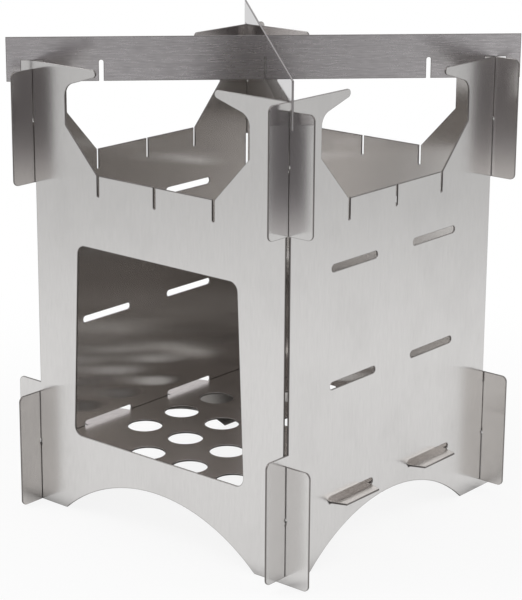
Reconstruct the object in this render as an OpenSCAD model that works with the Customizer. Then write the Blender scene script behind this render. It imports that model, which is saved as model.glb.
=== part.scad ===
// Flat-pack camping wood stove, cut from steel sheet and held together by slots alone.
// Four wall panels cross at the corners, a fire grate lies in the lowest wall slots,
// and two crossed pot bars drop over the corners of the walls.
// Origin: middle of the footprint, on the ground. +Z is up, and the fuel door faces -Y.

/* [Sheet and fits] */
// Thickness of the steel sheet that every piece is cut from
sheet_t = 1; // [0.8:0.1:1.4]
// Play on each side of a sheet that stands in a slot
side_play = 0.25; // [0.2:0.05:0.4]
// Play between the ends of two slots that are pushed over each other
end_play = 0.3; // [0.2:0.05:0.5]
// Diameter of the round relief at the closed end of a corner slot
relief_d = 2.4; // [2:0.1:4]

/* [Wall panels] */
// Distance between the middle planes of two facing walls
wall_span = 170; // [162:1:190]
// Height of the walls
wall_h = 240; // [228:1:270]
// How far the side edge of a wall stays inside the corner crossing
edge_inset = 1.2; // [1:0.1:2]

/* [Corner tabs] */
// How far the corner tabs reach past the corner crossing
tab_reach = 15; // [10:0.5:20]
// Height of the upper corner tabs
upper_tab_h = 64; // [52:1:76]
// Height of the lower corner tabs, from the ground
lower_tab_h = 67; // [56:1:76]
// How much lower an upper tab ends on a wall's right-hand side
upper_tab_step = 4.5; // [2:0.5:8]
// How much lower a lower tab ends on a wall's right-hand side
lower_tab_step = 5.5; // [2:0.5:8]
// How far a lower tab stays off the ground on a wall's left-hand side
foot_step = 4; // [2:0.5:6]
// Rounding of the outer corners of the tabs
tab_r = 3; // [1:0.5:5]

/* [Top notch] */
// Gap between the two horns at the top of a wall
mouth_w = 79; // [60:1:90]
// Height of a horn at its round tip
horn_h = 4.1; // [3:0.1:6]
// Slope of the underside of a horn, in degrees
horn_slope = 17; // [10:1:22]
// Width of the notch below the horns
notch_w = 122.6; // [110:0.2:130]
// Rounding where a horn runs into the side of the notch
notch_r = 7; // [3:0.5:9]
// Depth at which the notch starts to narrow
shoulder_d = 30.5; // [24:0.5:36]
// Depth of the floor of the notch
notch_d = 53.7; // [46:0.1:56]
// Width of the floor of the notch
floor_w = 79; // [60:1:90]
// Depth of the three slits in the floor of the notch
slit_d = 11; // [6:0.5:13]

/* [Foot arch] */
// Width of the arch between the two feet of a wall
arch_w = 131.6; // [110:0.2:140]
// Height of the arch
arch_h = 24.8; // [18:0.2:27]

/* [Grate slots] */
// Length of a grate slot
slot_l = 37; // [30:1:44]
// Height of a grate slot, whose ends are round
slot_h = 3.8; // [3:0.1:5]
// Distance from the middle of the wall to the middle of a grate slot
slot_x = 33.5; // [28:0.5:36]
// Height of the lowest row of grate slots
slot_z = 33.5; // [31:0.5:37]
// Depth of the highest row of grate slots below the floor of the notch
row_drop = 32.8; // [26:0.2:50]
// Number of rows of grate slots
rows = 3; // [1:1:3]

/* [Fuel door] */
// Height of the sill of the fuel door
door_z = 43.4; // [38:0.2:50]
// Height of the strip between the fuel door and the floor of the notch
lintel_h = 38.6; // [30:0.2:50]
// Width of the fuel door at its sill
sill_w = 117; // [90:1:126]
// Width of the fuel door at its top
lintel_w = 108; // [84:1:120]
// Rounding of the corners of the fuel door
door_r = 5; // [2:0.5:10]

/* [Fire grate] */
// How far the tabs of the grate stick out of the side walls
grate_reach = 8; // [4:0.5:12]
// How much a grate tab narrows on each side towards its end
grate_taper = 3; // [1:0.5:6]
// Play between a grate tab and each end of the flat floor of its slot
grate_play = 0.2; // [0.1:0.1:1]
// Diameter of the air holes
hole_d = 19; // [12:0.5:22]
// Distance between neighbouring air holes
hole_pitch = 30; // [26:0.5:32]
// Number of air holes along each side, with none in the four corners
hole_rows = 5; // [3:1:5]

/* [Pot bars] */
// Height of a pot bar
bar_h = 23; // [20:0.5:30]
// How far a pot bar reaches past the corner crossings
bar_reach = 13.3; // [9:0.1:18]
// Width of the seats that drop over the corner crossings
seat_w = 11.4; // [8:0.2:14]
// Depth of the seats that drop over the corner crossings
seat_d = 11; // [8:0.5:13]
// Width of the slots that take a wall when a bar lies straight across
bar_slot_w = 2.4; // [2:0.1:3]
// Depth of the slots that take a wall when a bar lies straight across
bar_slot_d = 11; // [6:0.5:14]

/* [Hidden] */
$fn = 96;
cut = 1;

front_steel = [0.78, 0.78, 0.77];
side_steel = [0.73, 0.73, 0.72];
grate_steel = [0.55, 0.54, 0.52];
bar_steel = [0.60, 0.59, 0.58];

half = wall_span / 2;
slit_w = sheet_t + 2 * side_play;
edge_x = half - edge_inset;
step_x = half + slit_w / 2;
tab_x = half + tab_reach;

upper_z = wall_h - upper_tab_h;
upper_mid = wall_h - upper_tab_h / 2;
right_tab_top = lower_tab_h - lower_tab_step;
lower_mid = (foot_step + right_tab_top) / 2;
relief_run = sqrt(pow(relief_d, 2) - pow(sheet_t, 2)) / 2;

nose_r = horn_h / 2;
nose = [mouth_w / 2 + nose_r, wall_h - nose_r];
nose_low = nose - nose_r * [sin(horn_slope), cos(horn_slope)];
notch_x = notch_w / 2;
armpit = [notch_x, nose_low[1] - (notch_x - nose_low[0]) * tan(horn_slope)];
floor_z = wall_h - notch_d;
slit_x = (floor_w - slit_w) / 2;

row_pitch = (floor_z - row_drop - slot_z) / max(rows - 1, 1);
door_top_z = floor_z - lintel_h;
arch_r = (pow(arch_w / 2, 2) + pow(arch_h, 2)) / (2 * arch_h);

grate_x = half - sheet_t / 2 - side_play;
grate_tab_x = half + sheet_t / 2 + grate_reach;
grate_root = slot_l / 2 - slot_h / 2 - grate_play;
grate_tip = grate_root - grate_taper;
grate_z = slot_z - slot_h / 2;
hole_first = -hole_pitch * (hole_rows - 1) / 2;

corner_s = half * sqrt(2);
bar_end = corner_s + bar_reach;
bar_z = wall_h - seat_d;
bar_mid = bar_z + bar_h / 2;

function unit(v) = v / norm(v);
function box_points(x0, z0, x1, z1) = [[x0, z0], [x1, z0], [x1, z1], [x0, z1]];

// An outline with true arcs at its corners, one radius for each corner.
// A radius of 0 leaves a corner sharp, and a corner that turns inwards stays sharp.
module rounded(points, radii) {
    n = len(points);
    function back(i) = unit(points[(i + n - 1) % n] - points[i]);
    function on(i) = unit(points[(i + 1) % n] - points[i]);
    function half_angle(i) = acos(back(i) * on(i)) / 2;
    function run(i) = radii[i] / tan(half_angle(i));
    polygon([for (i = [0 : n - 1])
        each radii[i] > 0
            ? [points[i] + run(i) * back(i), points[i] + run(i) * on(i)]
            : [points[i]]]);
    for (i = [0 : n - 1]) {
        if (radii[i] > 0) {
            translate(points[i] + unit(back(i) + on(i)) * radii[i] / sin(half_angle(i)))
                circle(r = radii[i]);
        }
    }
}

// The tabs on the side of a wall that is on the left, seen from outside.
module left_tabs() {
    rounded(box_points(-tab_x, upper_z, -edge_x + cut, wall_h), [tab_r, 0, 0, tab_r]);
    rounded(box_points(-tab_x, foot_step, -edge_x + cut, lower_tab_h), [tab_r, 0, 0, tab_r]);
    translate([-step_x, 0])
        square([step_x - edge_x + cut, lower_tab_h]);
}

// The tabs on the right are stepped down, so that both sides are told apart.
module right_tabs() {
    rounded(box_points(edge_x - cut, upper_z, tab_x, wall_h - upper_tab_step),
            [0, tab_r, tab_r, 0]);
    rounded(box_points(edge_x - cut, 0, tab_x, right_tab_top), [0, tab_r, tab_r, 0]);
    translate([edge_x - cut, upper_z])
        square([step_x - edge_x + cut, upper_tab_h]);
}

// The notch in the top of a wall, up to the round tips of the horns.
module notch_cut() {
    for (flip = [0, 1]) {
        mirror([flip, 0])
            rounded([[-cut, floor_z],
                     [floor_w / 2, floor_z],
                     [notch_x, wall_h - shoulder_d],
                     armpit,
                     nose_low,
                     nose,
                     [nose[0], wall_h + cut],
                     [-cut, wall_h + cut]],
                    [0, 0, 0, notch_r, 0, 0, 0, 0]);
    }
}

// The three slits in the floor of the notch, each with a round end.
module notch_slits() {
    for (x = [-slit_x, 0, slit_x]) {
        translate([x - slit_w / 2, floor_z - slit_d + slit_w / 2])
            square([slit_w, slit_d]);
        translate([x, floor_z - slit_d + slit_w / 2])
            circle(d = slit_w);
    }
}

// One corner slot, from the middle of a crossing out through its open end.
// Its closed end clears the faces of the sheet that stands in it by half the end play.
module corner_slot(x, mid, low, high, up) {
    relief_z = up ? mid - end_play / 2 + relief_run : mid + end_play / 2 - relief_run;
    from = up ? relief_z : low - cut;
    to = up ? high + cut : relief_z;
    translate([x - slit_w / 2, from])
        square([slit_w, to - from]);
    translate([x, relief_z])
        circle(d = relief_d);
}

// The corner slots on one side of a wall, which open at the top or at the bottom.
module corner_slots(x, up) {
    corner_slot(x, upper_mid, upper_z, wall_h, up);
    corner_slot(x, lower_mid, 0, lower_tab_h, up);
}

module foot_arch() {
    translate([0, arch_h - arch_r])
        circle(r = arch_r, $fn = 180);
}

module grate_slot() {
    square([slot_l - slot_h, slot_h], center = true);
    for (side = [-1, 1]) {
        translate([side * (slot_l - slot_h) / 2, 0])
            circle(d = slot_h);
    }
}

module grate_slots() {
    for (row = [0 : rows - 1], side = [-1, 1]) {
        translate([side * slot_x, slot_z + row * row_pitch])
            grate_slot();
    }
}

module fuel_door() {
    rounded([[-sill_w / 2, door_z],
             [sill_w / 2, door_z],
             [lintel_w / 2, door_top_z],
             [-lintel_w / 2, door_top_z]],
            [door_r, door_r, door_r, door_r]);
}

// A wall as cut from the sheet, seen from outside, with its openings as children.
// left_up and right_up say whether the corner slots on that side open at the top.
module wall_outline(left_up, right_up) {
    difference() {
        union() {
            translate([-edge_x, 0])
                square([2 * edge_x, wall_h]);
            left_tabs();
            right_tabs();
        }
        notch_cut();
        notch_slits();
        corner_slots(-half, left_up);
        corner_slots(half, right_up);
        foot_arch();
        children();
    }
    for (side = [-1, 1]) {
        translate([side * nose[0], nose[1]])
            circle(r = nose_r);
    }
}

// Stands a wall up on its side of the stove: 0 front, 1 right, 2 back, 3 left.
module wall(side, left_up, right_up) {
    rotate([0, 0, 90 * side])
        translate([0, -half, 0])
            rotate([90, 0, 0])
                linear_extrude(sheet_t, center = true)
                    wall_outline(left_up, right_up) children();
}

// Seen from outside, each wall is pushed down over its neighbour on the left.
// Only the back wall goes over both its neighbours, so it drops in last and lifts out first.
module front_panel() {
    color(front_steel)
        wall(0, false, true) fuel_door();
}

module right_panel() {
    color(side_steel)
        wall(1, false, true) grate_slots();
}

module back_panel() {
    color(front_steel)
        wall(2, false, false) grate_slots();
}

module left_panel() {
    color(side_steel)
        wall(3, true, true) grate_slots();
}

// One grate tab, which passes through a side wall's slot and narrows outside it.
module grate_tab() {
    polygon([[grate_x - cut, -grate_root],
             [half + sheet_t / 2, -grate_root],
             [grate_tab_x, -grate_tip],
             [grate_tab_x, grate_tip],
             [half + sheet_t / 2, grate_root],
             [grate_x - cut, grate_root]]);
}

module fire_grate() {
    last = hole_rows - 1;
    color(grate_steel)
        translate([0, 0, grate_z])
            linear_extrude(sheet_t)
                difference() {
                    union() {
                        square(2 * grate_x, center = true);
                        for (side = [0, 180], y = [-slot_x, slot_x]) {
                            rotate(side)
                                translate([0, y])
                                    grate_tab();
                        }
                    }
                    for (i = [0 : last], j = [0 : last]) {
                        corner = (i == 0 || i == last) && (j == 0 || j == last);
                        if (!corner) {
                            translate([hole_first + i * hole_pitch, hole_first + j * hole_pitch])
                                circle(d = hole_d);
                        }
                    }
                }
}

// A pot bar from its side: seats over the corners, slots for lying straight across,
// and in the middle a slot half its height, open upwards or downwards.
module bar_outline(open_top) {
    centre_from = open_top ? bar_mid - end_play / 2 : bar_z - cut;
    centre_to = open_top ? bar_z + bar_h + cut : bar_mid + end_play / 2;
    difference() {
        translate([-bar_end, bar_z])
            square([2 * bar_end, bar_h]);
        for (s = [-corner_s, corner_s]) {
            translate([s - seat_w / 2, bar_z - cut])
                square([seat_w, seat_d + cut]);
        }
        for (s = [-half, half]) {
            translate([s - bar_slot_w / 2, bar_z - cut])
                square([bar_slot_w, bar_slot_d + cut - bar_slot_w / 2]);
            translate([s, bar_z + bar_slot_d - bar_slot_w / 2])
                circle(d = bar_slot_w);
        }
        translate([-slit_w / 2, centre_from])
            square([slit_w, centre_to - centre_from]);
    }
}

module pot_bar(turn, open_top) {
    rotate([0, 0, turn])
        rotate([90, 0, 0])
            linear_extrude(sheet_t, center = true)
                bar_outline(open_top);
}

module lower_pot_bar() {
    color(bar_steel)
        pot_bar(-45, true);
}

module upper_pot_bar() {
    color(bar_steel)
        pot_bar(45, false);
}

front_panel();
right_panel();
back_panel();
left_panel();
fire_grate();
lower_pot_bar();
upper_pot_bar();
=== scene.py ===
# %% [markdown]
# A flat-pack camping stove, dressed for its photograph.
# The real stove is cut from stainless steel sheet and held together by slots alone.
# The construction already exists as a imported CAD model, which is loaded here as a fixed frame.
# What is left for Blender is the finish: deburred edges, brushed steel, light and camera.

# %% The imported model
import math
from collections import namedtuple

import bmesh
import bpy
from mathutils import Matrix, Vector


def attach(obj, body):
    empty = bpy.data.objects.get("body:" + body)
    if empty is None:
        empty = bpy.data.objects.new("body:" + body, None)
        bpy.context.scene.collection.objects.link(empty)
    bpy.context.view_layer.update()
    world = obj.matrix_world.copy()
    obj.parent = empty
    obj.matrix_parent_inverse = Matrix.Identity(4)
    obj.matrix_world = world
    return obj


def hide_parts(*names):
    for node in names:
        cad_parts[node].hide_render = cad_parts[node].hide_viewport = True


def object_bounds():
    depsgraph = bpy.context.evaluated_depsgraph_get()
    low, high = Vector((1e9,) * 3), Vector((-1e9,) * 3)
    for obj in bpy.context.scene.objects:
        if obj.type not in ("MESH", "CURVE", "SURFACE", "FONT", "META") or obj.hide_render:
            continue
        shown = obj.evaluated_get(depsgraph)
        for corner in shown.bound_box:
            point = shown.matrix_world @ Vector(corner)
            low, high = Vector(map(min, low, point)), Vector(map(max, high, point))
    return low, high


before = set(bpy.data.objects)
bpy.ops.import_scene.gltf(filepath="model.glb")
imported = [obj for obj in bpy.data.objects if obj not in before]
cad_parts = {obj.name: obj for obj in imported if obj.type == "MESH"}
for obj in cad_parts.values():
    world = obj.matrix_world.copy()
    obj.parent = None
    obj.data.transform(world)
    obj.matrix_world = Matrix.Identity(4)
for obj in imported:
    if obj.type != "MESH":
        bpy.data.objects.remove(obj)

cad_low, cad_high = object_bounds()
MM = 0.001
print("CAD box in mm:", [round(x / MM, 1) for x in (*cad_low, *cad_high)])

# %% [markdown]
# The photograph looks at the front corner from a little above, with a long lens.
# A camera can be aimed by hand or by a constraint, but both are hard to repeat exactly.
# Here a few plain numbers place it: two angles, a roll, a distance and the point it looks at.
# They came from the corners of the walls in the picture, so the edges fall where they should.
# The lens is also shifted down a little, so the upright edges run a little more parallel.

# %% Camera
IMAGE_H = 600
AZIMUTH = math.radians(39.88)
ELEVATION = math.radians(15.085)
ROLL = math.radians(0.38)
DISTANCE = 1.046
LOOK_AT = Vector((-2.55, 0.0, 135.79)) * MM
FOCAL_PIXELS = 1967.8
SHIFT = -0.08
SENSOR = 36.0


def aim_camera():
    back = Vector((math.sin(AZIMUTH) * math.cos(ELEVATION),
                   -math.cos(AZIMUTH) * math.cos(ELEVATION),
                   math.sin(ELEVATION)))
    right = (-back).cross(Vector((0, 0, 1))).normalized()
    up = right.cross(-back)
    tilted_right = math.cos(ROLL) * right + math.sin(ROLL) * up
    tilted_up = math.cos(ROLL) * up - math.sin(ROLL) * right
    camera = bpy.data.objects.new("camera", bpy.data.cameras.new("camera"))
    turn = Matrix((tilted_right, tilted_up, back)).transposed().to_4x4()
    camera.matrix_world = Matrix.Translation(LOOK_AT + back * DISTANCE) @ turn
    camera.data.sensor_width = SENSOR
    camera.data.lens = FOCAL_PIXELS / IMAGE_H * SENSOR
    camera.data.shift_y = SHIFT
    camera.data.clip_start = 0.05
    camera.data.clip_end = 20.0
    bpy.context.scene.collection.objects.link(camera)
    bpy.context.scene.camera = camera
    return camera


camera = aim_camera()
print("lens in mm:", round(camera.data.lens, 1))

# %% [markdown]
# Every material and the room below are node trees, which can be drawn by hand in the editor.
# A few small helpers write them instead, so that each step stays short and can be repeated.
# A ramp is given as where it starts, where it ends, and its levels at both.

# %% Small helpers for node trees
def add(tree, kind, **settings):
    made = tree.nodes.new(kind)
    for key, value in settings.items():
        setattr(made, key, value)
    return made


def feed(tree, socket, source):
    if hasattr(source, "is_linked"):
        tree.links.new(source, socket)
    else:
        socket.default_value = source


def calc(tree, operation, *values):
    made = add(tree, "ShaderNodeMath", operation=operation)
    for socket, value in zip(made.inputs, values):
        feed(tree, socket, value)
    return made.outputs[0]


def blend(tree, factor, low, high):
    made = add(tree, "ShaderNodeMix", data_type="FLOAT")
    for socket, value in zip(made.inputs[0:1] + made.inputs[2:4], (factor, low, high)):
        feed(tree, socket, value)
    return made.outputs[0]


def remap(tree, value, low, high, to_low=0.0, to_high=1.0, smooth=False):
    made = add(tree, "ShaderNodeMapRange")
    made.interpolation_type = "SMOOTHSTEP" if smooth else "LINEAR"
    for socket, given in zip(made.inputs, (value, low, high, to_low, to_high)):
        feed(tree, socket, given)
    return made.outputs[0]


# The Mix node keeps its colours in sockets 6 and 7, and its mixed colour in output 2.
def mix_colour(tree, factor, low, high):
    made = add(tree, "ShaderNodeMix", data_type="RGBA")
    feed(tree, made.inputs[0], factor)
    feed(tree, made.inputs[6], low)
    feed(tree, made.inputs[7], high)
    return made.outputs[2]


def dot_with(tree, vector, direction):
    made = add(tree, "ShaderNodeVectorMath", operation="DOT_PRODUCT")
    feed(tree, made.inputs[0], vector)
    feed(tree, made.inputs[1], direction)
    return made.outputs["Value"]


def split_axes(tree, vector):
    made = add(tree, "ShaderNodeSeparateXYZ")
    feed(tree, made.inputs[0], vector)
    return made.outputs["X"], made.outputs["Y"], made.outputs["Z"]


def colour(r, g, b):
    return (r, g, b, 1.0)


print("node helpers ready")

# %% [markdown]
# Bare steel has no colour of its own: it shows the room. So the room matters most.
# The stove stands on a white table in a white studio that is darker on the camera's side.
# That dark side is what the corner tabs and the pot bars mirror in the photograph.
# Light Path tells which kind of ray is asking. The camera and clear things see plain white,
# mirrors see the levels below, and the light that falls on the table keeps a soft shadow.

# %% Kinds of rays
def ray_kinds(tree):
    path = add(tree, "ShaderNodeLightPath")
    seen = calc(tree, "MAXIMUM", path.outputs["Is Camera Ray"],
                path.outputs["Is Transmission Ray"])
    return path.outputs["Is Glossy Ray"], seen


print("ray kinds ready")

# %% [markdown]
# The room is one background without any picture in it, only levels that depend on direction.
# Low down it is pale behind the stove and dark on the side where the camera stands.
# Higher up the ceiling light makes it bright to both sides. It is dimmer ahead, which is
# towards the camera, and behind the stove.
# Its dark parts have a faint lilac tint, which the dim parts of the steel show too.
# Real cards and walls would do the same, but they would cost time and could be seen by mistake.

# %% Studio room
ROOM_LEVEL = 0.60
DARK_SIDE = Vector((0.68, -0.73, 0.0)).normalized()
LOW_ROOM = (-0.10, 0.40, 0.80, 0.20)
HIGH_BEHIND = (-0.80, -0.10, 0.55, 1.0)
HIGH_AHEAD = (0.35, 0.75, 1.0, 0.36)
LOW_TO_HIGH = (0.06, 0.26)
WHITE = colour(1.0, 1.0, 1.0)
DARK_TINT = colour(1.0, 0.925, 0.985)


def make_room():
    world = bpy.data.worlds.new("studio room")
    world.use_nodes = True
    tree = world.node_tree
    tree.nodes.clear()
    where = add(tree, "ShaderNodeTexCoord").outputs["Generated"]
    facing = dot_with(tree, where, DARK_SIDE)
    height = split_axes(tree, where)[2]
    low = remap(tree, facing, *LOW_ROOM, smooth=True)
    high = calc(tree, "MINIMUM", remap(tree, facing, *HIGH_AHEAD, smooth=True),
                remap(tree, facing, *HIGH_BEHIND, smooth=True))
    mirrored = blend(tree, remap(tree, height, *LOW_TO_HIGH, smooth=True), low, high)
    glossy, seen = ray_kinds(tree)
    level = blend(tree, glossy, ROOM_LEVEL, mirrored)
    level = blend(tree, seen, level, 1.0)
    darkness = calc(tree, "MULTIPLY", glossy, calc(tree, "SUBTRACT", 1.0, mirrored))
    sky = add(tree, "ShaderNodeBackground")
    feed(tree, sky.inputs["Color"], mix_colour(tree, darkness, WHITE, DARK_TINT))
    feed(tree, sky.inputs["Strength"], level)
    out = add(tree, "ShaderNodeOutputWorld")
    feed(tree, out.inputs["Surface"], sky.outputs[0])
    bpy.context.scene.world = world
    return world


room = make_room()
print("room:", len(room.node_tree.nodes), "nodes")

# %% [markdown]
# The walls mirror mostly the white table, so its levels shape their tone.
# The table glows around the feet and less farther out, and it is dark near the camera.
# A darker band lies a little to the right there, with a bright part beyond it.
# Distances are in metres from the stove's middle: ahead is towards the camera, aside is right.
# A painted plane could do that, but a disc with a few smooth ramps has no edges to see.
# Only mirror rays meet these ramps. The camera sees a plain pale top with the stove's shadow.

# %% Levels on the table
LIGHT_SIDE = Vector((0.70, 0.72, 0.0)).normalized()
DARK_AHEAD = (0.72, 0.94, 1.0, 0.20)
PAST_CAMERA = (1.38, 1.90, 0.0, 0.45)
BAND_ASIDE = (0.02, 0.20, 0.0, 0.65)
BAND_AHEAD = (0.95, 1.15)
BRIGHT_ASIDE = (0.26, 0.46, 0.0, 0.9)
GLOW_OUTWARDS = (0.25, 0.95, 0.92, 0.58)
GLOW_AHEAD = (0.25, 0.60, 0.0, 0.30)
GLOW_BEHIND = (-0.40, -1.00, 0.0, 0.20)


def table_shade(tree, place):
    ahead = dot_with(tree, place, DARK_SIDE)
    aside = dot_with(tree, place, LIGHT_SIDE)
    shade = calc(tree, "ADD", remap(tree, ahead, *DARK_AHEAD, smooth=True),
                 remap(tree, ahead, *PAST_CAMERA))
    band = calc(tree, "MULTIPLY", remap(tree, aside, *BAND_ASIDE, smooth=True),
                remap(tree, ahead, *BAND_AHEAD))
    shade = calc(tree, "MULTIPLY", shade, calc(tree, "SUBTRACT", 1.0, band))
    return blend(tree, remap(tree, aside, *BRIGHT_ASIDE, smooth=True), shade, 1.0)


def table_glow(tree, place, radius):
    ahead = dot_with(tree, place, DARK_SIDE)
    level = remap(tree, radius, *GLOW_OUTWARDS, smooth=True)
    level = calc(tree, "ADD", level, remap(tree, ahead, *GLOW_AHEAD))
    return calc(tree, "ADD", level, remap(tree, ahead, *GLOW_BEHIND))


print("table ramps ready")

# %% [markdown]
# The table top itself is matt paint with fine flecks, mixed with a glow that evens it out.
# A lamp-lit white plane alone would turn grey towards its edge, where the picture stays white.
# Mirrors see paint and glow outside the stove, and under it only the paint, with a painted shadow
# over its real shade.

# %% Paint and glow of the table
FOOTPRINT = cad_high[0]
STOVE_EDGE = (0.78 * FOOTPRINT, FOOTPRINT)
# The next value darkens the paint under the stove for mirror rays, a painted shadow over the real
# one.
UNDER_STOVE_SHADOW = 0.65
MIRROR_SHARE = 0.70
FADE_TO_WHITE = (0.16, 0.42, 0.88, 1.0)
FLECKS = 900.0
PAINT = (0.0, 1.0, 0.86, 0.92)


def new_material(name):
    material = bpy.data.materials.new(name)
    material.use_nodes = True
    material.node_tree.nodes.clear()
    return material, material.node_tree


def make_table_material():
    material, tree = new_material("white table top")
    place = add(tree, "ShaderNodeTexCoord").outputs["Object"]
    glossy, seen = ray_kinds(tree)
    from_middle = add(tree, "ShaderNodeVectorMath", operation="LENGTH")
    feed(tree, from_middle.inputs[0], place)
    radius = from_middle.outputs["Value"]
    sides = [calc(tree, "ABSOLUTE", axis) for axis in split_axes(tree, place)[:2]]
    outside = remap(tree, calc(tree, "MAXIMUM", *sides), *STOVE_EDGE, smooth=True)
    shade = table_shade(tree, place)
    darkness = calc(tree, "MULTIPLY", glossy, calc(tree, "SUBTRACT", 1.0, shade))
    tint = mix_colour(tree, darkness, WHITE, DARK_TINT)
    fleck = add(tree, "ShaderNodeTexNoise")
    feed(tree, fleck.inputs["Vector"], place)
    fleck.inputs["Scale"].default_value = FLECKS
    paint = remap(tree, fleck.outputs[0], *PAINT)
    mirrored = calc(tree, "MULTIPLY", shade, blend(tree, outside, UNDER_STOVE_SHADOW, 1.0))
    shaded = add(tree, "ShaderNodeVectorMath", operation="SCALE")
    feed(tree, shaded.inputs[0], tint)
    feed(tree, shaded.inputs["Scale"],
         calc(tree, "MULTIPLY", paint, blend(tree, glossy, 1.0, mirrored)))
    pale = add(tree, "ShaderNodeBsdfDiffuse")
    feed(tree, pale.inputs["Color"], shaded.outputs[0])
    glow = add(tree, "ShaderNodeEmission")
    feed(tree, glow.inputs["Color"], tint)
    level = calc(tree, "MULTIPLY", table_glow(tree, place, radius), shade)
    feed(tree, glow.inputs["Strength"], blend(tree, glossy, 1.0, level))
    white = remap(tree, radius, *FADE_TO_WHITE, smooth=True)
    mix = add(tree, "ShaderNodeMixShader")
    feed(tree, mix.inputs[0], blend(tree, glossy, calc(tree, "MULTIPLY", seen, white),
                                    calc(tree, "MULTIPLY", outside, MIRROR_SHARE)))
    feed(tree, mix.inputs[1], pale.outputs[0])
    feed(tree, mix.inputs[2], glow.outputs[0])
    out = add(tree, "ShaderNodeOutputMaterial")
    feed(tree, out.inputs["Surface"], mix.outputs[0])
    return material


table_finish = make_table_material()
print(table_finish.name, "has", len(table_finish.node_tree.nodes), "nodes")

# %% [markdown]
# The table is one flat disc, so wide that its edge never shows.
# It lies a hair below the feet, because two faces in one place would flicker.

# %% Table top
TABLE_RADIUS = 2.4
TABLE_DROP = 0.05 * MM


def make_table():
    bm = bmesh.new()
    bmesh.ops.create_circle(bm, cap_ends=True, segments=96, radius=TABLE_RADIUS)
    mesh = bpy.data.meshes.new("table_top")
    bm.to_mesh(mesh)
    bm.free()
    mesh.materials.append(table_finish)
    table = bpy.data.objects.new("table_top", mesh)
    table.location.z = -TABLE_DROP
    bpy.context.scene.collection.objects.link(table)
    return table


table_top = make_table()
print(table_top.name, "radius in m:", TABLE_RADIUS)

# %% [markdown]
# Two large softboxes stand for the studio lamps, the stronger one on the left.
# Small lamps would print hard highlights on the steel, and the photograph shows none.

# %% Soft lamps
Softbox = namedtuple("Softbox", "name place size watts")
SOFTBOXES = (
    Softbox("key_softbox", (-0.9, -0.7, 1.5), 1.0, 9.0),
    Softbox("fill_softbox", (1.1, 0.6, 1.3), 0.9, 5.0),
)


def make_lamp(box):
    lamp = bpy.data.lights.new(box.name, "AREA")
    lamp.shape = "SQUARE"
    lamp.size = box.size
    lamp.energy = box.watts
    stand = bpy.data.objects.new(box.name, lamp)
    stand.location = box.place
    stand.rotation_mode = "QUATERNION"
    stand.rotation_quaternion = (LOOK_AT - Vector(box.place)).to_track_quat("-Z", "Y")
    bpy.context.scene.collection.objects.link(stand)
    return stand


lamps = [make_lamp(box) for box in SOFTBOXES]
bpy.context.scene.view_settings.view_transform = "Standard"
print("lamps:", [lamp.name for lamp in lamps])

# %% [markdown]
# Brushed steel is sheet that ran under abrasive belts, so it is covered with fine lines.
# A picture could be wrapped on, but noise stretched along the belt has no seams or repeats.
# Every piece gets a flat map of its own sheet, with V along the grain and U across it.
# The grain is then one node group that reads this map, and all steel finishes share it.

# %% Grain of the brushed sheet
FINE_LINES = (1100.0, 130.0, 1.0)
BROAD_LINES = (420.0, 16.0, 1.0)
FINE_SHARE = 0.75
TONE_GAIN = 2.5


def new_group(name, inputs, outputs):
    tree = bpy.data.node_groups.new(name, "ShaderNodeTree")
    for label, kind, value in inputs:
        socket = tree.interface.new_socket(label, in_out="INPUT", socket_type=kind)
        if value is not None:
            socket.default_value = value
    for label in outputs:
        tree.interface.new_socket(label, in_out="OUTPUT", socket_type="NodeSocketFloat")
    return tree, add(tree, "NodeGroupInput"), add(tree, "NodeGroupOutput")


def noise(tree, vector, stretch, detail=2.0, offset=0.0):
    scaled = add(tree, "ShaderNodeMapping")
    feed(tree, scaled.inputs["Vector"], vector)
    scaled.inputs["Scale"].default_value = stretch
    scaled.inputs["Location"].default_value = (offset, offset, offset)
    made = add(tree, "ShaderNodeTexNoise")
    feed(tree, made.inputs["Vector"], scaled.outputs[0])
    made.inputs["Scale"].default_value = 1.0
    made.inputs["Detail"].default_value = detail
    return made.outputs[0]


def make_grain_group():
    tree, given, out = new_group(
        "Brushed grain",
        [("Vector", "NodeSocketVector", None), ("Contrast", "NodeSocketFloat", 1.0)],
        ["Tone", "Height"])
    place = given.outputs["Vector"]
    fine = noise(tree, place, FINE_LINES, detail=3.0)
    broad = noise(tree, place, BROAD_LINES, detail=3.0, offset=7.0)
    both = calc(tree, "ADD", calc(tree, "MULTIPLY", fine, FINE_SHARE),
                calc(tree, "MULTIPLY", broad, 1.0 - FINE_SHARE))
    swing = calc(tree, "MULTIPLY", calc(tree, "SUBTRACT", both, 0.5), given.outputs["Contrast"])
    tone = add(tree, "ShaderNodeMath", operation="MULTIPLY_ADD", use_clamp=True)
    feed(tree, tone.inputs[0], swing)
    feed(tree, tone.inputs[1], TONE_GAIN)
    feed(tree, tone.inputs[2], 0.5)
    feed(tree, out.inputs["Tone"], tone.outputs[0])
    feed(tree, out.inputs["Height"], fine)
    return tree


grain_group = make_grain_group()
print(grain_group.name, "group:", len(grain_group.nodes), "nodes")

# %% [markdown]
# A stove that was handled has faint smudges, and sheets that slid over each other have hairlines.
# Both could be painted by hand, but a group of soft and stretched noise does it on any piece.
# It reads the object's own coordinates in metres, so the marks stay on the steel as it moves.

# %% Smudges and hairlines
SMUDGES = (38.0, 38.0, 30.0)
SMUDGE_EDGE = (0.48, 0.72)
STREAKS = (1900.0, 1500.0, 45.0)
STREAK_EDGE = (0.70, 0.74)
PATCHES = (24.0, 24.0, 24.0)
PATCH_EDGE = (0.52, 0.62)


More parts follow.
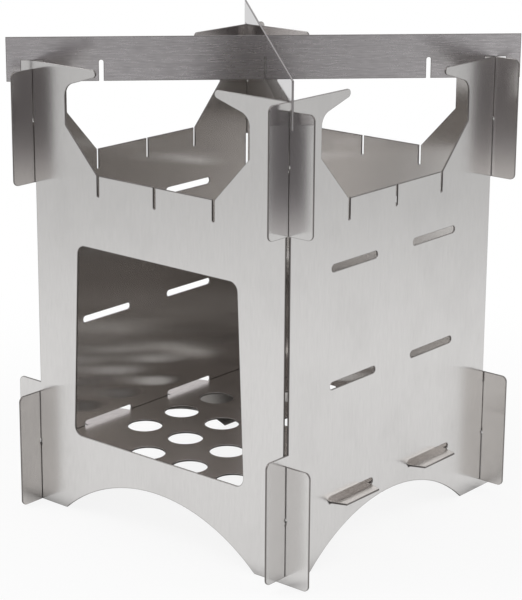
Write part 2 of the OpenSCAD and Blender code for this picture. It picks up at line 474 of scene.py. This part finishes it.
def make_marks_group():
    tree, given, out = new_group(
        "Handling marks", [("Vector", "NodeSocketVector", None)], ["Smudge", "Hairline"])
    place = given.outputs["Vector"]
    cloud = noise(tree, place, SMUDGES)
    streaks = noise(tree, place, STREAKS, detail=1.0, offset=3.0)
    patches = noise(tree, place, PATCHES, detail=1.0, offset=11.0)
    lines = calc(tree, "MULTIPLY", remap(tree, streaks, *STREAK_EDGE),
                 remap(tree, patches, *PATCH_EDGE))
    feed(tree, out.inputs["Smudge"], remap(tree, cloud, *SMUDGE_EDGE, smooth=True))
    feed(tree, out.inputs["Hairline"], lines)
    return tree


marks_group = make_marks_group()
print(marks_group.name, "group:", len(marks_group.nodes), "nodes")

# %% [markdown]
# In the picture the inner sides get darker towards the grate and the back, more than plain
# steel does in this room. That is painted in here as shade: a dark film over the steel.
# It is thickest low down by the grate, and towards the back.
# The tabs stand outside the corners, and the back wall's tabs get a painted shade of their own.
# Both could be a painted texture, but soft ramps over the place with some noise need no picture.

# %% Painted shade inside and on the back tabs
INNER_SHADE_HEIGHT = (150 * MM, 45 * MM)
INNER_SHADE_BACKWARDS = (-70 * MM, 60 * MM)
TAB_TO_CORNER = (88 * MM, 85 * MM)
CLOUDS = (30.0, 30.0, 18.0)
CLOUD_EDGE = (0.3, 0.7, 0.85, 1.0)


# Painted shade: darker low down and towards the back inside, and on the tabs outside the corners.
def make_painted_shade_group():
    tree, given, out = new_group(
        "Smoke and grease", [("Vector", "NodeSocketVector", None)], ["Smoke", "Tab shade"])
    place = given.outputs["Vector"]
    x, y, z = split_axes(tree, place)
    low = remap(tree, z, *INNER_SHADE_HEIGHT, smooth=True)
    back = remap(tree, y, *INNER_SHADE_BACKWARDS, smooth=True)
    reach = calc(tree, "MAXIMUM", calc(tree, "ABSOLUTE", x), calc(tree, "ABSOLUTE", y))
    inside = remap(tree, reach, *TAB_TO_CORNER)
    cloud = remap(tree, noise(tree, place, CLOUDS, offset=17.0), *CLOUD_EDGE)
    inner_shade = calc(tree, "MULTIPLY", calc(tree, "MULTIPLY", low, back), inside)
    tab_shade = calc(tree, "SUBTRACT", 1.0, inside)
    feed(tree, out.inputs["Smoke"], calc(tree, "MULTIPLY", inner_shade, cloud))
    feed(tree, out.inputs["Tab shade"], calc(tree, "MULTIPLY", cloud, tab_shade))
    return tree


painted_shade_group = make_painted_shade_group()
print(painted_shade_group.name, "group:", len(painted_shade_group.nodes), "nodes")

# %% [markdown]
# A laser leaves a cut edge that is duller and darker than the sheet, with fine upright ribs.
# The flat map is the same through the thickness, so noise on it gives ribs straight across.

# %% Ribs of the laser cut
RIBS = (4200.0, 4200.0, 1.0)
HEAT = (110.0, 110.0, 1.0)
RIB_SHARE = 0.6


def make_cut_group():
    tree, given, out = new_group(
        "Laser cut", [("Vector", "NodeSocketVector", None)], ["Tone", "Height"])
    place = given.outputs["Vector"]
    ribs = noise(tree, place, RIBS)
    heat = noise(tree, place, HEAT, offset=5.0)
    feed(tree, out.inputs["Height"], ribs)
    feed(tree, out.inputs["Tone"], calc(tree, "ADD", calc(tree, "MULTIPLY", ribs, RIB_SHARE),
                                        calc(tree, "MULTIPLY", heat, 1.0 - RIB_SHARE)))
    return tree


cut_group = make_cut_group()
print(cut_group.name, "group:", len(cut_group.nodes), "nodes")

# %% [markdown]
# A finish is a tone, a dullness and a fine relief, and these come from the groups above.
# The shader stays in each material, because the export can't read one inside a group.
# It is set to plain metal, since bare steel has no paint or coat over it.

# %% Parts that every finish shares
def place_group(tree, group, **inputs):
    made = add(tree, "ShaderNodeGroup", node_tree=group)
    for label, value in inputs.items():
        feed(tree, made.inputs[label], value)
    return made.outputs


def finish_shader(tree, tone, dull, height, depth):
    bump = add(tree, "ShaderNodeBump")
    feed(tree, bump.inputs["Height"], height)
    feed(tree, bump.inputs["Distance"], depth)
    steel = add(tree, "ShaderNodeBsdfPrincipled")
    steel.inputs["Metallic"].default_value = 1.0
    feed(tree, steel.inputs["Base Color"], tone)
    feed(tree, steel.inputs["Roughness"], dull)
    feed(tree, steel.inputs["Normal"], bump.outputs[0])
    out = add(tree, "ShaderNodeOutputMaterial")
    feed(tree, out.inputs["Surface"], steel.outputs[0])
    return steel


print("finish parts ready")

# %% [markdown]
# The steel finishes differ only in their numbers, so one function builds them all.
# Brushing spreads a reflection across the grain, which is the shader's Anisotropic value.
# The Tangent node tells it which way that is, from the flat map of each sheet.
# Two values on each vertex tell the finish where it is: on the reverse, or beside a cut.
# On the reverse the grain is far less deep, and only there does the painted shade lie.

# %% Brushed steel finish
SMUDGE_TONE = colour(0.50, 0.49, 0.48)
HAIRLINE_TONE = colour(0.80, 0.80, 0.80)
# The next tone is the dark colour of the painted shade inside the stove and on the back wall's
# tabs.
PAINTED_SHADE_TONE = colour(0.26, 0.245, 0.225)
MARGIN_TONE = colour(0.25, 0.24, 0.23)
SMUDGE_SHARE, HAIRLINE_SHARE, MARGIN_SHARE = 0.10, 0.12, 0.60
SMUDGE_DULLS, MARGIN_DULLS = 0.015, 0.05
GRAIN_DULLS = (0.0, 1.0, 1.12, 0.90)
GRAIN_ON_REVERSE = 0.15


# This adds the painted shade: inside the stove low down and at the back, and on the back wall's
# tabs.
def painted_shade_share(tree, place, side, inner_shade, tab_shade):
    shade_films = place_group(tree, painted_shade_group, Vector=place)
    both = calc(tree, "ADD", calc(tree, "MULTIPLY", shade_films["Smoke"], inner_shade),
                calc(tree, "MULTIPLY", shade_films["Tab shade"], tab_shade))
    return calc(tree, "MULTIPLY", both, side)


def make_steel(name, face, reverse, spread, contrast, depth, inner_shade=0.0, tab_shade=0.0):
    material, tree = new_material(name)
    sheet_map = add(tree, "ShaderNodeUVMap", uv_map="sheet").outputs[0]
    place = add(tree, "ShaderNodeTexCoord").outputs["Object"]
    margin = add(tree, "ShaderNodeAttribute", attribute_name="margin").outputs["Fac"]
    side = add(tree, "ShaderNodeAttribute", attribute_name="reverse").outputs["Fac"]
    grain = place_group(tree, grain_group, Vector=sheet_map, Contrast=contrast)
    marks = place_group(tree, marks_group, Vector=place)
    tone = mix_colour(tree, grain["Tone"], mix_colour(tree, side, face.dark, reverse.dark),
                      mix_colour(tree, side, face.light, reverse.light))
    layers = [(marks["Smudge"], SMUDGE_SHARE, SMUDGE_TONE),
              (marks["Hairline"], HAIRLINE_SHARE, HAIRLINE_TONE)]
    if inner_shade or tab_shade:
        layers.append((painted_shade_share(tree, place, side, inner_shade, tab_shade), 1.0, PAINTED_SHADE_TONE))
    layers.append((margin, MARGIN_SHARE, MARGIN_TONE))
    for mask, share, layer in layers:
        tone = mix_colour(tree, calc(tree, "MULTIPLY", mask, share), tone, layer)
    dull = calc(tree, "MULTIPLY", blend(tree, side, face.dull, reverse.dull),
                remap(tree, grain["Tone"], *GRAIN_DULLS))
    dull = calc(tree, "ADD", dull, calc(tree, "MULTIPLY", marks["Smudge"], SMUDGE_DULLS))
    dull = calc(tree, "ADD", dull, calc(tree, "MULTIPLY", margin, MARGIN_DULLS))
    height = calc(tree, "MULTIPLY", grain["Height"],
                  remap(tree, side, 0.0, 1.0, 1.0, GRAIN_ON_REVERSE))
    steel = finish_shader(tree, tone, dull, height, depth)
    steel.inputs["Anisotropic"].default_value = spread
    tangent = add(tree, "ShaderNodeTangent", direction_type="UV_MAP", uv_map="sheet")
    feed(tree, steel.inputs["Tangent"], tangent.outputs[0])
    return material


print("steel finish ready")

# %% [markdown]
# Each side of a sheet is a dark tone, a light tone and a roughness, and the grain mixes the tones.
# The show sides are neutral, and the sides around the fire are a little warmer and duller.
# The back wall's inner side is painted lighter and the right wall's darker, as in the picture:
# painted light and shade on the same inner steel.
# How much painted shade a wall carries was also set to fit the picture.
# The pot bars are ground coarser than the walls, and their reverse is almost a mirror.

# %% Steel finishes of the walls, grate and bars
Side = namedtuple("Side", "dark light dull")
OUTER = Side(colour(0.71, 0.698, 0.688), colour(0.755, 0.742, 0.732), 0.15)
INNER = Side(colour(0.560, 0.538, 0.520), colour(0.635, 0.611, 0.590), 0.18)
# The back wall's inner tone is painted light, and the right wall's inner tone is painted shade.
BACK_INNER_PAINTED_LIGHT = Side(colour(0.87, 0.841, 0.818), colour(0.93, 0.899, 0.875), 0.18)
RIGHT_INNER_PAINTED_SHADE = Side(colour(0.49, 0.470, 0.455), colour(0.54, 0.519, 0.503), 0.18)
GRATE = Side(colour(0.78, 0.753, 0.725), colour(0.96, 0.926, 0.892), 0.22)
BAR_FACE = Side(colour(0.56, 0.545, 0.546), colour(0.78, 0.760, 0.762), 0.28)
BAR_BACK = Side(colour(0.69, 0.670, 0.680), colour(0.75, 0.730, 0.742), 0.03)
WALL_GRAIN = {"spread": 1.0, "contrast": 0.9, "depth": 0.8e-6}

wall_finish = make_steel("brushed wall steel", OUTER, INNER, **WALL_GRAIN, inner_shade=0.62)
back_finish = make_steel("brushed back wall steel", OUTER, BACK_INNER_PAINTED_LIGHT, **WALL_GRAIN,
                         inner_shade=0.32, tab_shade=0.36)
right_finish = make_steel("brushed right wall steel", OUTER, RIGHT_INNER_PAINTED_SHADE, **WALL_GRAIN,
                          inner_shade=0.12)
grate_finish = make_steel("brushed grate steel", GRATE, GRATE,
                          spread=0.60, contrast=1.0, depth=0.8e-6)
bar_finish = make_steel("brushed bar steel", BAR_FACE, BAR_BACK,
                        spread=0.75, contrast=1.2, depth=1.0e-6)
finishes = (wall_finish, back_finish, right_finish, grate_finish, bar_finish)
print("steel finishes:", [m.name for m in finishes])

# %% [markdown]
# A cut edge is only a millimetre high, yet it draws the thin lines around every slot and arch.
# On the walls and the grate, and on all rounded rims, the laser burnt it dark.
# The cut edges of the pot bars were ground bright, since pots slide over them.

# %% Laser-cut edge finish
CUT_DULL = (0.0, 1.0, 0.50, 0.38)
RIB_DEPTH = 8e-6


def make_cut_finish(name, dark, light):
    material, tree = new_material(name)
    sheet_map = add(tree, "ShaderNodeUVMap", uv_map="sheet").outputs[0]
    cut = place_group(tree, cut_group, Vector=sheet_map)
    finish_shader(tree, mix_colour(tree, cut["Tone"], dark, light),
                  remap(tree, cut["Tone"], *CUT_DULL), cut["Height"], RIB_DEPTH)
    return material


cut_finish = make_cut_finish("laser-cut edge", colour(0.10, 0.09, 0.085),
                             colour(0.26, 0.245, 0.235))
bar_cut_finish = make_cut_finish("ground bar edge", colour(0.34, 0.33, 0.33),
                                 colour(0.60, 0.58, 0.58))
print("edge finishes:", [m.name for m in (cut_finish, bar_cut_finish)])

# %% [markdown]
# Each piece of the stove is one flat sheet, and its outline is already right in the CAD model.
# Redrawing the outline would only add errors, so a copy of the node's mesh is the starting point.
# The copy's loose triangles are merged and dissolved into flat faces.
# Then the cut edges are bevelled by a fifth of a millimetre, as deburring leaves them,
# and a narrow inset along every cut carries the dull, darker margin beside a laser cut.

# %% Sheet with deburred edges
DEBUR = 0.18 * MM
MARGIN = 0.30 * MM
MERGE = 1e-6
SAME_PLANE = math.radians(1.0)
NEARLY_FLAT = 0.9
FLAT = 0.999


# This is 1 for a face that lies flat in the sheet, and 0 for one straight across it.
def levelness(face, normal):
    return abs(face.normal.dot(normal))


def flat_sheet(node):
    bm = bmesh.new()
    bm.from_mesh(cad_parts[node].data)
    bmesh.ops.remove_doubles(bm, verts=bm.verts, dist=MERGE)
    bmesh.ops.dissolve_limit(bm, angle_limit=SAME_PLANE, verts=bm.verts, edges=bm.edges)
    return bm


def is_rim(edge, normal):
    if len(edge.link_faces) != 2:
        return False
    a, b = (levelness(face, normal) > NEARLY_FLAT for face in edge.link_faces)
    return a != b


def deburr(bm, normal):
    rims = [edge for edge in bm.edges if is_rim(edge, normal)]
    bmesh.ops.bevel(bm, geom=rims, offset=DEBUR, offset_type="OFFSET", affect="EDGES",
                    segments=2, profile=0.5, material=-1, clamp_overlap=False)
    sides = [face for face in bm.faces if levelness(face, normal) > FLAT]
    bmesh.ops.inset_region(bm, faces=sides, thickness=MARGIN, use_even_offset=True,
                           use_boundary=True)
    margin = bm.verts.layers.float.new("margin")
    reverse = bm.verts.layers.float.new("reverse")
    inner = set(v for face in sides for v in face.verts)
    middle = sum(v.co.dot(normal) for v in bm.verts) / len(bm.verts)
    for v in bm.verts:
        v[margin] = 0.0 if v in inner else 1.0
        v[reverse] = 1.0 if v.co.dot(normal) < middle else 0.0


print("edge radius and margin in mm:", DEBUR / MM, MARGIN / MM)

# %% [markdown]
# A sheet could be unwrapped by Blender, but its own flat axes give a truer map in metres.
# The reverse reads another part of the noise, so that both sides don't show the same lines.
# Faces that lie flat get the steel, the cut gets its edge finish, and the rims are always dark.
# Each finished piece rides on its body and replaces its CAD node, which is then hidden.

# %% From CAD node to finished piece
REVERSE_SHIFT = 0.31
BEHIND = -0.1
SLANTED = 0.3
SHARP = math.radians(50)
STEEL, CUT, RIM = 0, 1, 2


def lay_map(bm, normal, across, along, shift):
    layer = bm.loops.layers.uv.new("sheet")
    for face in bm.faces:
        far = REVERSE_SHIFT if face.normal.dot(normal) < BEHIND else 0.0
        for loop in face.loops:
            co = loop.vert.co
            loop[layer].uv = (co.dot(across) + shift + far, co.dot(along) + shift)


def sort_faces(bm, normal):
    for face in bm.faces:
        face.smooth = True
        level = levelness(face, normal)
        face.material_index = STEEL if level > NEARLY_FLAT else RIM if level > SLANTED else CUT
    for edge in bm.edges:
        if len(edge.link_faces) == 2:
            a, b = (levelness(face, normal) > FLAT for face in edge.link_faces)
            edge.smooth = a == b and edge.calc_face_angle() < SHARP


def finish_sheet(name, node, body, steel, cut, normal, across, along, shift):
    bm = flat_sheet(node)
    deburr(bm, normal)
    lay_map(bm, normal, across, along, shift)
    sort_faces(bm, normal)
    mesh = bpy.data.meshes.new(name)
    bm.to_mesh(mesh)
    bm.free()
    for material in (steel, cut, cut_finish):
        mesh.materials.append(material)
    piece = bpy.data.objects.new(name, mesh)
    bpy.context.scene.collection.objects.link(piece)
    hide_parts(node)
    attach(piece, body)
    print(name, "has", len(mesh.polygons), "faces")


print("places of the finishes: steel", STEEL, "cut", CUT, "rim", RIM)

# %% [markdown]
# The four walls are brushed from top to bottom, which smears reflections sideways.
# That is why the air holes of the grate show as level streaks inside the fuel door.
# They only need their finish and a map each, since the CAD model has every slot already.
# The last number moves each map along, so that no two walls show the same lines.

# %% Walls
UP = Vector((0, 0, 1))
ALONG_X = Vector((1, 0, 0))
ALONG_Y = Vector((0, 1, 0))

finish_sheet("front_wall_sheet", "front_panel", "stove_walls",
             wall_finish, cut_finish, -ALONG_Y, ALONG_X, UP, 0.0)
finish_sheet("right_wall_sheet", "right_panel", "stove_walls",
             right_finish, cut_finish, ALONG_X, ALONG_Y, UP, 0.7)
finish_sheet("back_wall_sheet", "back_panel", "back_wall",
             back_finish, cut_finish, ALONG_Y, ALONG_X, UP, 1.3)
finish_sheet("left_wall_sheet", "left_panel", "stove_walls",
             wall_finish, cut_finish, -ALONG_X, ALONG_Y, UP, 2.1)

# %% [markdown]
# The grate is a flat sheet with air holes, and its tabs reach out through the walls' slots.
# It is brushed from front to back and less strongly, so it mirrors the walls more evenly.

# %% Fire grate
finish_sheet("fire_grate_sheet", "fire_grate", "stove_walls",
             grate_finish, cut_finish, UP, ALONG_X, ALONG_Y, 2.9)

# %% [markdown]
# The pot bars are brushed along their length, so their reflections are smeared up and down.

# %% Pot bars
TO_FRONT_RIGHT = Vector((1, -1, 0)).normalized()
TO_BACK_RIGHT = Vector((1, 1, 0)).normalized()

finish_sheet("lower_pot_bar_sheet", "lower_pot_bar", "lower_bar",
             bar_finish, bar_cut_finish, TO_BACK_RIGHT, UP, TO_FRONT_RIGHT, 3.6)
finish_sheet("upper_pot_bar_sheet", "upper_pot_bar", "upper_bar",
             bar_finish, bar_cut_finish, TO_FRONT_RIGHT, UP, TO_BACK_RIGHT, 4.4)
